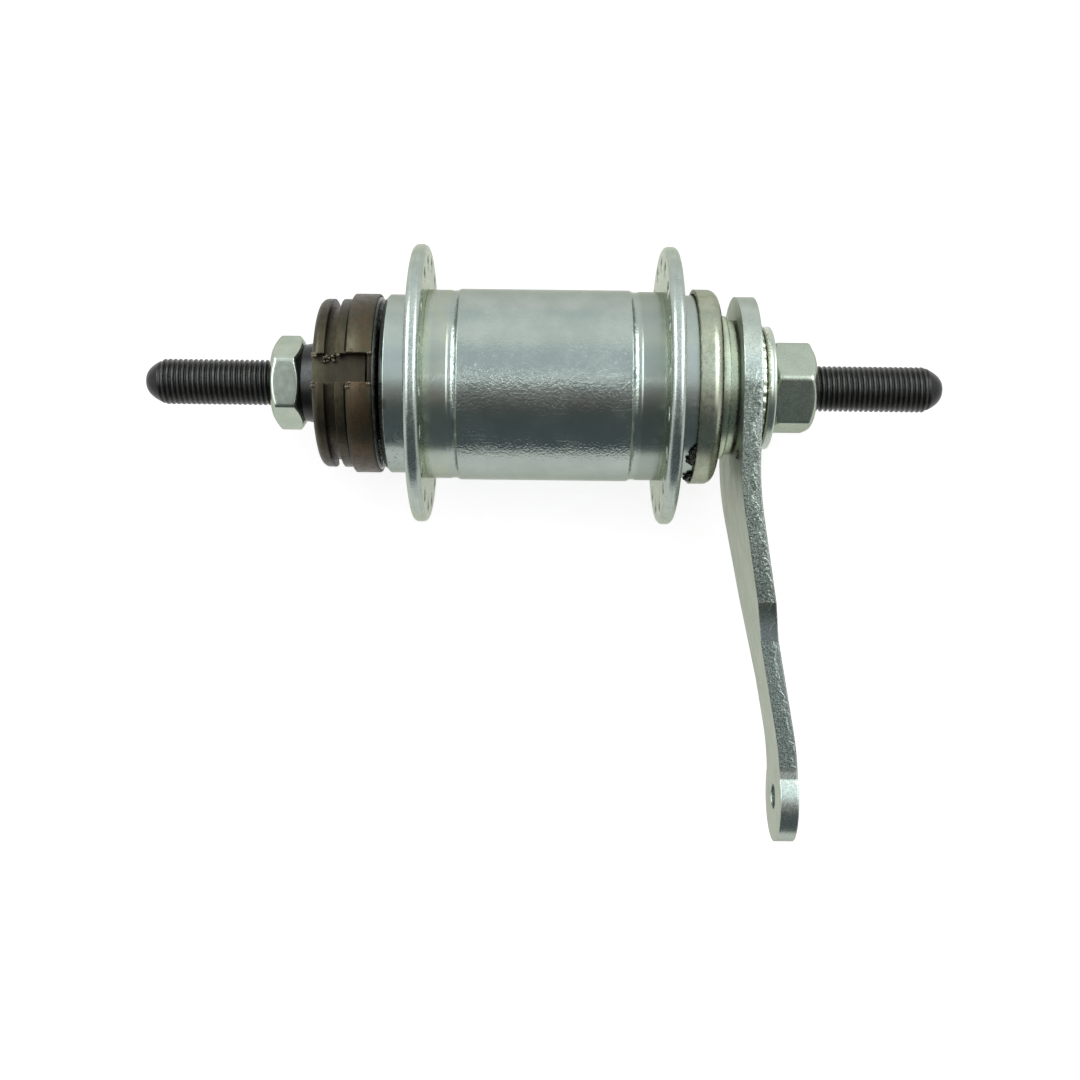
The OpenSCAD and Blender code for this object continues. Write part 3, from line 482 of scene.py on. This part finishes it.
def oiled_steel():
    """Brown oily steel of the driver, with turning marks, pits and black lines in the corners"""
    tones = (0.035, 0.030, 0.018), (0.056, 0.050, 0.031)
    warm_tone, patch_tone = (0.092, 0.058, 0.033), (0.040, 0.033, 0.020)
    ring_tone, pit_tone = (0.10, 0.09, 0.06), (0.012, 0.010, 0.008)
    slot_floor_shade, corner_black = (0.022, 0.019, 0.013), (0.004, 0.004, 0.003)
    ring_corner, groove_corner = -38.95, -43.0
    g = Graph("oiled_steel")
    cloud = g.noise(4.5, 5.0, 0.62, seed=51.0)
    patch = g.noise(1.2, 5.0, 0.7, seed=53.0, distortion=0.6)
    rings = g.noise(0.16, 2.0, 0.6, stretch=(90, 1, 90), seed=55.0)
    colour = g.mottle(cloud, 0.34, 0.66, tones)
    warm = g.times(g.between(g.y, -38.2, -34.4, 0.5), g.span(cloud, 0.60, 0.40))
    colour = g.mix(g.times(warm, 0.6), colour, warm_tone)
    colour = g.mix(g.times(g.span(patch, 0.52, 0.72), 0.8), colour, patch_tone)
    colour = g.mix(g.times(g.span(rings, 0.55, 0.7), 0.35), colour, ring_tone)
    pits = g.times(g.pits(1.5, 5.3, 0.15, 0.07), g.span(patch, 0.4, 0.6))
    colour = g.mix(pits, colour, pit_tone)
    slot = lug_slot(g)
    # The floors of the lug slots are darker: painted shade in the recesses
    floor = g.times(slot, g.span(g.radius, 16.6, 16.0), g.span(g.y, -44.6, -42.4))
    colour = g.mix(g.times(floor, 0.75), colour, slot_floor_shade)
    # Black lines in the corners outside the slots, and along the end next to the dust cap
    joint = g.near(ring_corner, 0.34, 0.20)
    joint = g.math("MAXIMUM", joint, g.times(g.near(groove_corner, 0.30, 0.08), 0.7))
    joint = g.times(joint, g.span(slot, 1.0, 0.0))
    joint = g.math("MAXIMUM", joint, g.times(g.span(g.y, -33.85, -33.65), 0.6))
    colour = g.mix(g.times(joint, 0.95), colour, corner_black)
    dull = g.span(patch, 0.3, 0.75, 0.40, 0.58)
    lumps = g.noise(0.7, 4.0, 0.65, seed=57.0)
    normal = g.bump(rings, 0.008, g.bump(lumps, 0.05, g.rounded(0.3)))
    oil = g.bump(lumps, 0.08, g.rounded(0.3))
    return g.finish(
        base_color=colour, metallic=1.0, roughness=dull, normal=normal,
        coat_weight=0.12, coat_roughness=0.10, coat_normal=oil,
    )


def plain_steel(name, tones, dull_low, dull_high, seed):
    """Ground or hardened steel inside the hub, with fine grinding lines round the axle"""
    g = Graph(name)
    cloud = g.noise(3.0, 4.0, 0.6, seed=seed)
    rings = g.noise(0.12, 2.0, 0.6, stretch=(70, 1, 70), seed=seed + 2.0)
    colour = g.mottle(cloud, 0.35, 0.68, tones)
    patch = g.noise(0.8, 4.0, 0.65, seed=seed + 4.0)
    dull = g.span(patch, 0.3, 0.7, dull_low, dull_high)
    return g.finish(base_color=colour, metallic=1.0, roughness=dull, normal=g.bump(rings, 0.005))


def grease():
    """Thick black grease"""
    tones = (0.004, 0.004, 0.004), (0.016, 0.014, 0.011)
    g = Graph("grease")
    lumps = g.noise(0.4, 4.0, 0.65, seed=71.0)
    colour = g.mottle(lumps, 0.35, 0.7, tones)
    dull = g.span(lumps, 0.3, 0.7, 0.14, 0.32)
    return g.finish(base_color=colour, roughness=dull, normal=g.bump(lumps, 0.06))


def oil():
    """Beads of brown oil"""
    tones = (0.050, 0.037, 0.020), (0.15, 0.12, 0.08)
    g = Graph("oil")
    lumps = g.noise(0.5, 3.0, 0.6, seed=73.0)
    colour = g.mottle(lumps, 0.35, 0.7, tones)
    dull = g.span(lumps, 0.3, 0.7, 0.06, 0.18)
    return g.finish(base_color=colour, metallic=0.5, roughness=dull, normal=g.bump(lumps, 0.015))


ZINC_PLATE = zinc_plate()
ZINC_FLANGE = zinc_flange()
ZINC_CAP = zinc_cap()
ZINC_NUT = zinc_nut()
ZINC_WASHER = zinc_washer()
ZINC_ARM = zinc_arm()
BLACK_STEEL = black_steel()
BLACK_CAP = black_cap()
OILED_STEEL = oiled_steel()
HARD_STEEL = plain_steel(
    "hard_steel", ((0.30, 0.31, 0.32), (0.42, 0.43, 0.44)), 0.14, 0.30, 81.0)
BALL_STEEL = plain_steel(
    "ball_steel", ((0.60, 0.61, 0.62), (0.70, 0.71, 0.72)), 0.05, 0.12, 83.0)
CAGE_STEEL = plain_steel(
    "cage_steel", ((0.36, 0.36, 0.33), (0.47, 0.47, 0.44)), 0.24, 0.40, 85.0)
SHOE_BRONZE = plain_steel(
    "shoe_bronze", ((0.30, 0.215, 0.11), (0.42, 0.315, 0.175)), 0.24, 0.42, 87.0)
GREASE = grease()
OIL = oil()

FINISHES = (
    (ZINC_NUT, "drive_locknut", "arm_nut"),
    (ZINC_WASHER, "arm_washer", "arm_lock_washer"),
    (BLACK_STEEL, "adjusting_cone"),
    (BLACK_CAP, "cone_dust_cap", "driver_dust_cap"),
    (OILED_STEEL, "driver"),
    (ZINC_PLATE, "hub_barrel"),
    (ZINC_FLANGE, "drive_flange", "brake_flange"),
    (ZINC_CAP, "brake_dust_cap"),
    (ZINC_ARM, "brake_arm"),
    (HARD_STEEL, "drive_bearing_cup", "brake_bearing_cup", "clutch_cone", "retarder_spring",
     "brake_cone"),
    (SHOE_BRONZE, "brake_shoe_upper", "brake_shoe_lower"),
    (BALL_STEEL, "cone_bearing_balls", "driver_bearing_balls", "brake_bearing_balls"),
    (CAGE_STEEL, "cone_bearing_cage", "driver_bearing_cage", "brake_bearing_cage"),
)

for material, *names in FINISHES:
    for name in names:
        node = nodes[name]
        node.data.materials.clear()
        node.data.materials.append(material)


# ---- meshes ----

def add_mesh(name, verts, faces, material, body):
    """A piece of the visual model, from points in millimetres, that moves with a body"""
    mesh = bpy.data.meshes.new(name)
    mesh.from_pydata([Vector(v) * MM for v in verts], [], faces)
    mesh.materials.append(material)
    mesh.shade_smooth()
    obj = bpy.data.objects.new(name, mesh)
    scene.collection.objects.link(obj)
    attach(obj, body)
    return obj


def polar(radius, angle, y):
    """A place at a radius, an angle from +Z towards +X and a place along the axle"""
    return (radius * math.sin(angle), y, radius * math.cos(angle))


def ring_faces(a, b, count):
    """Faces between two rings round the axle, whose first points are a and b"""
    following = [(c + 1) % count for c in range(count)]
    return [(a + c, a + d, b + d, b + c) for c, d in enumerate(following)]


def section_faces(a, b, count):
    """Faces between two sections through a ring, whose first points are a and b"""
    following = [(k + 1) % count for k in range(count)]
    return [(a + k, b + k, b + n, a + n) for k, n in enumerate(following)]


def smooth(t):
    t = min(max(t, 0.0), 1.0)
    return t * t * (3 - 2 * t)


# ---- axle thread ----

THREAD_PITCH = 25.4 / 24
THREAD_DEPTH = 0.52
# Flat bottom and flank of the thread, as shares of half a pitch
THREAD_FLAT = 0.10
THREAD_FLANK = 0.72
AXLE_TIP = 4.1
AXLE_TIP_POWER = 0.36
# Length at each end whose rings crowd towards the point
TIP_RINGS_LEN = 3.3
TIP_RINGS = 14
RINGS_PER_PITCH = 8
AXLE_COLUMNS = 64


def dome(depth):
    """Radius of the axle's blunt tip at that depth below its point"""
    return AXLE_R * min(depth / AXLE_TIP, 1.0) ** AXLE_TIP_POWER


def thread_radius(y, angle):
    """Radius of the right-handed thread at a place along the axle and an angle round it"""
    phase = (y / THREAD_PITCH - angle / math.tau) % 1.0
    flank = smooth((abs(2 * phase - 1) - THREAD_FLAT) / THREAD_FLANK)
    return AXLE_R - THREAD_DEPTH * (1 - flank)


def axle_stations(face):
    """Places of the rings from a nut's face out to the tip"""
    step = THREAD_PITCH / RINGS_PER_PITCH
    count = round((AXLE_HALF - TIP_RINGS_LEN - face) / step)
    shaft = [face + step * i for i in range(count + 1)]
    last = AXLE_HALF - shaft[-1]
    tip = [AXLE_HALF - last * (1 - i / TIP_RINGS) ** 2 for i in range(1, TIP_RINGS)]
    return shaft + tip


def build_axle():
    """Threaded ends with blunt tips, joined by a plain core inside the hub"""
    columns = AXLE_COLUMNS
    drive = [-y for y in reversed(axle_stations(DRIVE_NUT_FACE))]
    brake = axle_stations(BRAKE_NUT_FACE)
    core = (len(drive), len(drive) + 1)
    stations = drive + [-DRIVE_NUT_FACE, BRAKE_NUT_FACE] + brake
    verts = [(0, -AXLE_HALF, 0)]
    for i, y in enumerate(stations):
        for c in range(columns):
            angle = math.tau * c / columns
            if i in core:
                r = AXLE_CORE_R
            else:
                r = min(thread_radius(y, angle), dome(AXLE_HALF - abs(y)))
            verts.append(polar(r, angle, y))
    verts.append((0, AXLE_HALF, 0))
    last_ring = 1 + (len(stations) - 1) * columns
    faces = []
    for a in range(1, last_ring, columns):
        faces += ring_faces(a, a + columns, columns)
    for c in range(columns):
        d = (c + 1) % columns
        faces.append((0, 1 + d, 1 + c))
        faces.append((last_ring + c, last_ring + d, len(verts) - 1))
    return add_mesh("axle_thread", verts, faces, BLACK_STEEL, "axle_set")


axle = build_axle()
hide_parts("axle")


# ---- nuts with worn corners ----

NUT_HALF_FLATS = 8.5
NUT_FACE_R = 7.7
NUT_BORE_R = 4.85
NUT_WEAR = 0.14
NUT_CHAMFER_SLOPE = 1.75
NUT_CHAMFER_DEPTH = 3.0
# A flat whose normal has less than this share towards a place is left out there
NUT_FACING = 0.3
NUT_COLUMNS = 144
NUT_ROWS = 28


def soft_min(values, width):
    """The least of some lengths, rounded over where two of them meet"""
    least = min(values)
    return least - width * math.log(sum(math.exp((least - v) / width) for v in values))


def nut_radius(angle, depth):
    """Radius of a hexagon nut at an angle from the middle of a flat and a depth below its
    nearer face"""
    cosines = [math.cos(angle - k * math.tau / 6) for k in range(6)]
    flats = [NUT_HALF_FLATS / cosine for cosine in cosines if cosine > NUT_FACING]
    chamfer = NUT_FACE_R + NUT_CHAMFER_SLOPE * min(depth, NUT_CHAMFER_DEPTH)
    return soft_min(flats + [chamfer], NUT_WEAR)


def build_nut(node, low, high, turn):
    """A nut from low to high along the axle, with one flat at turn degrees from +Z towards +X"""
    columns = NUT_COLUMNS
    verts, faces = [], []

    def ring(y, radius):
        for c in range(columns):
            angle = math.tau * c / columns
            verts.append(polar(radius(angle - math.radians(turn)), angle, y))

    ring(low, lambda angle: NUT_BORE_R)
    for i in range(NUT_ROWS + 1):
        y = low + (high - low) * smooth(i / NUT_ROWS)
        depth = min(y - low, high - y)
        ring(y, lambda angle: nut_radius(angle, depth))
    ring(high, lambda angle: NUT_BORE_R)
    count = NUT_ROWS + 3
    for i in range(count):
        faces += ring_faces(i * columns, (i + 1) % count * columns, columns)
    obj = add_mesh("worn_" + node, verts, faces, ZINC_NUT, "axle_set")
    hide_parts(node)


build_nut("drive_locknut", -DRIVE_NUT_FACE, -DRIVE_NUT_BACK, DRIVE_NUT_TURN)
build_nut("arm_nut", BRAKE_NUT_BACK, BRAKE_NUT_FACE, BRAKE_NUT_TURN)


# ---- lock washer ----

def build_lock_washer():
    """A toothed ring whose teeth are crushed into coarse grains"""
    rng = random.Random(5)
    columns = 216
    inner, outer, low, high, corner = NUT_BORE_R, 12.25, 42.5, 44.5, 0.35
    teeth, tooth_depth, crush = 36, 0.10, 0.08
    section = [(inner, low), (outer - corner, low), (outer, low + corner),
               (outer, (low + high) / 2),
               (outer, high - corner), (outer - corner, high), (inner, high)]
    size = len(section)
    verts, faces = [], []
    for c in range(columns):
        angle = math.tau * c / columns
        tooth = tooth_depth * math.cos(teeth * angle)
        for k, (r, y) in enumerate(section):
            if 0 < k < size - 1:
                r += tooth + rng.uniform(-crush, crush)
            verts.append(polar(r, angle, y))
        faces += section_faces(c * size, (c + 1) % columns * size, size)
    obj = add_mesh("crushed_lock_washer", verts, faces, ZINC_WASHER, "axle_set")
    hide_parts("arm_lock_washer")


build_lock_washer()


# ---- skin of the driver's ring ----

def build_ring_lip():
    """The ring's worn skin in three arcs between the lug slots, with a thin lip that reaches over
    the dust cap"""
    half_gap = 9.0
    arc_len = SLOT_PITCH - 2 * half_gap
    columns = 60
    sharp_edge = 50
    section = [(17.95, -38.74), (18.26, -38.74), (18.40, -38.58),
               (18.40, -33.95), (18.26, -33.68), (17.95, -33.6)]
    size = len(section)
    verts, faces = [], []
    for arc in range(SLOT_COUNT):
        start = SLOT_PITCH * arc - SLOT_ANGLE + half_gap
        first = len(verts)
        last = first + columns * size
        for c in range(columns + 1):
            angle = math.radians(start + arc_len * c / columns)
            verts += [polar(r, angle, y) for r, y in section]
        for a in range(first, last, size):
            faces += section_faces(a, a + size, size)
        faces.append(tuple(first + k for k in range(size)))
        faces.append(tuple(last + k for k in reversed(range(size))))
    lip = add_mesh("driver_ring_lip", verts, faces, OILED_STEEL, "driver_set")
    lip.data.set_sharp_from_angle(angle=math.radians(sharp_edge))


build_ring_lip()


# ---- oil and grease ----

def build_beads(name, beads, material, body):
    """Small round lumps in one mesh, each given as a centre, a radius and a stretch along Y"""
    shape = bmesh.new()
    for centre, radius, stretch in beads:
        made = bmesh.ops.create_icosphere(shape, subdivisions=2, radius=1.0)
        for vert in made["verts"]:
            unit = Vector((vert.co.x, vert.co.y * stretch, vert.co.z))
            vert.co = Vector(centre) + unit * radius
    verts = [tuple(v.co) for v in shape.verts]
    faces = [tuple(v.index for v in f.verts) for f in shape.faces]
    shape.free()
    add_mesh(name, verts, faces, material, body)


def build_oil():
    """Oil beads along the edges of the driver's three lug slots"""
    rng = random.Random(11)
    half_slot = 9.6
    least, extra = 0.18, 0.38
    # Side of the slot, middle and spread along the axle, radius, degrees into the slot, count
    clusters = (
        (-1, -44.9, 0.5, 16.9, 2.0, 14), (-1, -42.3, 1.0, 15.9, 4.5, 16),
        (-1, -40.4, 0.4, 16.9, 1.0, 4), (-1, -38.0, 0.5, 18.1, -1.0, 8),
        (-1, -34.3, 0.4, 18.0, 0.8, 6), (1, -45.3, 0.2, 16.7, -4.0, 5),
        (1, -40.8, 0.2, 16.9, -1.0, 2), (1, -38.2, 0.3, 18.1, -3.0, 6),
        (1, -34.2, 0.3, 18.2, -2.0, 3),
    )
    beads = []
    for slot in range(SLOT_COUNT):
        for side, middle, spread, radius, inward, count in clusters:
            for _ in range(count):
                y = middle + spread * rng.uniform(-1, 1)
                off = side * (half_slot - inward * rng.uniform(-0.1, 1.0))
                angle = math.radians(SLOT_PITCH * slot - SLOT_ANGLE + off)
                centre = polar(radius + rng.uniform(-0.15, 0.15), angle, y)
                size = least + extra * rng.random() ** 2
                beads.append((centre, size, rng.uniform(0.8, 1.3)))
    build_beads("oil_beads", beads, OIL, "driver_set")


def build_grease():
    """Black grease squeezed out under the brake side's dust cap, and a lump on the arm"""
    rng = random.Random(3)
    cap_r, cap_edge, lump_count = 19.3, 30.15, 30
    arm_x, arm_y, arm_z, spot_count = 14.7, 38.75, 10.9, 9
    lumps = []
    # Middle and spread round the axle in degrees, reach from under the cap
    for middle, spread, reach in ((50.0, 5.5, 1.2), (56.0, 3.0, 1.7), (81.0, 8.0, 1.5)):
        for _ in range(lump_count):
            off = rng.uniform(-1, 1)
            back = reach * (1 - abs(off)) ** 0.7 * rng.uniform(0.0, 1.0)
            centre = polar(cap_r, math.radians(middle + spread * off), cap_edge - back)
            lumps.append((centre, rng.uniform(0.22, 0.50), rng.uniform(0.7, 1.2)))
    build_beads("cap_grease", lumps, GREASE, "axle_set")
    spots = []
    for _ in range(spot_count):
        centre = (arm_x + rng.uniform(-0.9, 0.9), arm_y, arm_z + rng.uniform(-0.4, 0.2))
        spots.append((centre, rng.uniform(0.2, 0.42), 0.8))
    build_beads("arm_grease", spots, GREASE, "axle_set")


build_oil()
build_grease()


# ---- light, floor and surroundings, in metres ----

FLOOR_Z = -FLANGE_R * MM
FLOOR_REACH = 6.0
FLOOR_PAINT = (0.8, 0.8, 0.8)
FLOOR_GLOW = 0.68
WORLD_LIGHT = 0.48


def lamp(name, place, size, radiance):
    """A soft rectangular lamp over the object, which shows in reflections and not to the camera"""
    data = bpy.data.lights.new(name, "AREA")
    data.shape = "RECTANGLE"
    data.size, data.size_y = size
    data.energy = radiance * math.pi * size[0] * size[1]
    obj = bpy.data.objects.new(name, data)
    obj.location = place
    aim = Vector((0, 0, 0)) - Vector(place)
    obj.rotation_euler = aim.to_track_quat("-Z", "Y").to_euler()
    obj.visible_camera = False
    scene.collection.objects.link(obj)


lamp("spark", place=(-0.018, 0.0, 0.60), size=(0.075, 0.026), radiance=8.0)
lamp("ceiling", place=(-0.35, 0.0, 0.80), size=(0.7, 0.5), radiance=1.0)


def stage_mesh(name, verts, faces, material):
    mesh = bpy.data.meshes.new(name)
    mesh.from_pydata(verts, [], faces)
    mesh.materials.append(material)
    mesh.shade_smooth()
    obj = bpy.data.objects.new(name, mesh)
    scene.collection.objects.link(obj)
    return obj


TENT_R = 0.75
TENT_HALF = 0.8
TENT_FROM = math.radians(-118)
TENT_TO = math.radians(100)
TENT_STEPS = 48
TENT_GLOW = 1.25
TENT_END_GLOW = 9.0
TENT_END_FROM = 0.24
TENT_END_TO = 0.36
TENT_END_MIDDLE = math.radians(-15)
TENT_END_FULL = math.radians(25)
TENT_END_GONE = math.radians(60)
# Angle round the axle in degrees and the sheet's tone there
TENT_STOPS = (
    (-112, (0.76, 0.79, 0.79)), (-96, (0.74, 0.78, 0.80)), (-85, (0.81, 0.87, 0.89)),
    (-68, (0.97, 1.0, 1.0)), (-50, (0.97, 1.0, 1.0)), (-34, (0.70, 0.76, 0.81)),
    (-26, (0.67, 0.73, 0.78)), (-17, (0.71, 0.77, 0.82)), (-6, (0.60, 0.64, 0.67)),
    (2, (0.47, 0.49, 0.51)), (9, (0.36, 0.37, 0.38)), (16, (0.26, 0.25, 0.248)),
    (24, (0.20, 0.185, 0.175)), (31, (0.118, 0.122, 0.124)), (40, (0.10, 0.118, 0.124)),
    (100, (0.115, 0.14, 0.154)),
)


def tent_material():
    """A glow whose tone varies round the axle, brighter towards both ends of the axle over the
    object's upper side"""
    material = new_material("tent")
    g = Tree(material.node_tree)
    glow = g.add("ShaderNodeEmission")
    g.show(glow)
    parts = g.add("ShaderNodeSeparateXYZ")
    g.set(parts.inputs[0], g.add("ShaderNodeTexCoord").outputs["Object"])
    x, y, z = parts.outputs
    angle = g.math("ARCTAN2", x, z)
    ramp = g.add("ShaderNodeValToRGB")
    g.set(ramp.inputs[0], g.line(angle, -math.pi, math.pi))
    g.set(glow.inputs["Color"], ramp.outputs[0])
    elements = ramp.color_ramp.elements
    while len(elements) < len(TENT_STOPS):
        elements.new(0.5)
    for element, (degrees, colour) in zip(elements, TENT_STOPS):
        element.position = (degrees + 180) / 360
        element.color = (*colour, 1.0)
    ends = g.span(g.math("ABSOLUTE", y), TENT_END_FROM, TENT_END_TO)
    away = g.math("ABSOLUTE", g.math("ADD", angle, -TENT_END_MIDDLE))
    over = g.span(away, TENT_END_GONE, TENT_END_FULL)
    level = g.line(g.times(ends, over), 0.0, 1.0, TENT_GLOW, TENT_END_GLOW)
    g.set(glow.inputs["Strength"], level)
    return material


def build_tent():
    """A curved glowing sheet over the object, seen only in reflections"""
    verts, faces = [], []
    for i in range(TENT_STEPS + 1):
        angle = TENT_FROM + (TENT_TO - TENT_FROM) * i / TENT_STEPS
        verts += [polar(TENT_R, angle, y) for y in (-TENT_HALF, TENT_HALF)]
    for k in range(0, 2 * TENT_STEPS, 2):
        faces.append((k, k + 1, k + 3, k + 2))
    tent = stage_mesh("tent", verts, faces, tent_material())
    tent.visible_camera = False
    tent.visible_diffuse = False
    tent.visible_transmission = False
    tent.visible_shadow = False
    tent.visible_volume_scatter = False


def build_floor():
    """A pale floor: white to the camera and in reflections, with the object's shadow on it"""
    material = new_material("floor")
    g = Tree(material.node_tree)
    paint = g.add("ShaderNodeBsdfDiffuse")
    g.set(paint.inputs["Color"], FLOOR_PAINT)
    glow = g.add("ShaderNodeEmission")
    g.set(glow.inputs["Strength"], g.times(g.seen(), FLOOR_GLOW))
    both = g.add("ShaderNodeAddShader")
    g.set(both.inputs[0], paint.outputs[0])
    g.set(both.inputs[1], glow.outputs[0])
    g.show(both)
    corners = ((-1, -1), (1, -1), (1, 1), (-1, 1))
    verts = [(x * FLOOR_REACH, y * FLOOR_REACH, FLOOR_Z) for x, y in corners]
    stage_mesh("floor", verts, [(0, 1, 2, 3)], material)


def build_world():
    """White to the camera, in reflections and through glass, and about half as bright where it
    lights the object"""
    world = bpy.data.worlds.new("world")
    scene.world = world
    world.use_nodes = True
    g = Tree(world.node_tree)
    sky = g.add("ShaderNodeBackground")
    g.set(sky.inputs["Color"], (1.0, 1.0, 1.0))
    g.set(sky.inputs["Strength"], g.line(g.seen(), 0.0, 1.0, WORLD_LIGHT, 1.0))
    g.show(sky, "ShaderNodeOutputWorld")


build_tent()
build_floor()
build_world()
scene.view_settings.view_transform = "Standard"
